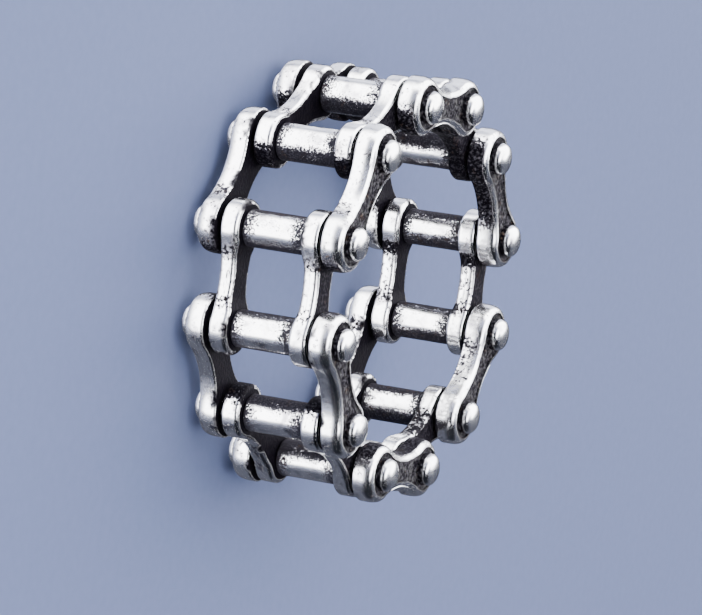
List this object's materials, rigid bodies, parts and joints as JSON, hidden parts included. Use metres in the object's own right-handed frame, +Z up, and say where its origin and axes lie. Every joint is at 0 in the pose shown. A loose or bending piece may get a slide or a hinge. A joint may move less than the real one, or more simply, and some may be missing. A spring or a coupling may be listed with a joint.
{
  "type": "chain link finger ring",
  "caption": "Finger ring in the form of a closed roller chain: dog-bone outer and inner link plates on both sides, joined by rollers and by pins with domed heads.",
  "frame": {"origin": "on the finger axis, in the plane that the lower pin heads rest on", "axes": "+Z up along the finger axis, as the ring lies on its side; -Y to the middle of an inner link"},
  "size_m": [0.0264, 0.0264, 0.0114],
  "materials": {
    "outer_plates": "polished cast steel, with a rough blackened panel sunk in the outer face",
    "inner_plates": "polished cast steel round the edge, blackened on both faces",
    "rollers": "polished cast steel with small dark pits and blackened ends",
    "pins": "polished steel heads, dark round their foot"
  },
  "bodies": {
    "root": {"outer_plate_top_1": "outer_plates", "outer_plate_top_2": "outer_plates", "outer_plate_top_3": "outer_plates", "outer_plate_top_4": "outer_plates", "outer_plate_top_5": "outer_plates", "outer_plate_top_6": "outer_plates", "outer_plate_bottom_1": "outer_plates", "outer_plate_bottom_2": "outer_plates", "outer_plate_bottom_3": "outer_plates", "outer_plate_bottom_4": "outer_plates", "outer_plate_bottom_5": "outer_plates", "outer_plate_bottom_6": "outer_plates", "inner_plate_top_1": "inner_plates", "inner_plate_top_2": "inner_plates", "inner_plate_top_3": "inner_plates", "inner_plate_top_4": "inner_plates", "inner_plate_top_5": "inner_plates", "inner_plate_top_6": "inner_plates", "inner_plate_bottom_1": "inner_plates", "inner_plate_bottom_2": "inner_plates", "inner_plate_bottom_3": "inner_plates", "inner_plate_bottom_4": "inner_plates", "inner_plate_bottom_5": "inner_plates", "inner_plate_bottom_6": "inner_plates", "roller_1": "rollers", "roller_2": "rollers", "roller_3": "rollers", "roller_4": "rollers", "roller_5": "rollers", "roller_6": "rollers", "roller_7": "rollers", "roller_8": "rollers", "roller_9": "rollers", "roller_10": "rollers", "roller_11": "rollers", "roller_12": "rollers", "pin_1": "pins", "pin_2": "pins", "pin_3": "pins", "pin_4": "pins", "pin_5": "pins", "pin_6": "pins", "pin_7": "pins", "pin_8": "pins", "pin_9": "pins", "pin_10": "pins", "pin_11": "pins", "pin_12": "pins"}
  },
  "joints": []
}
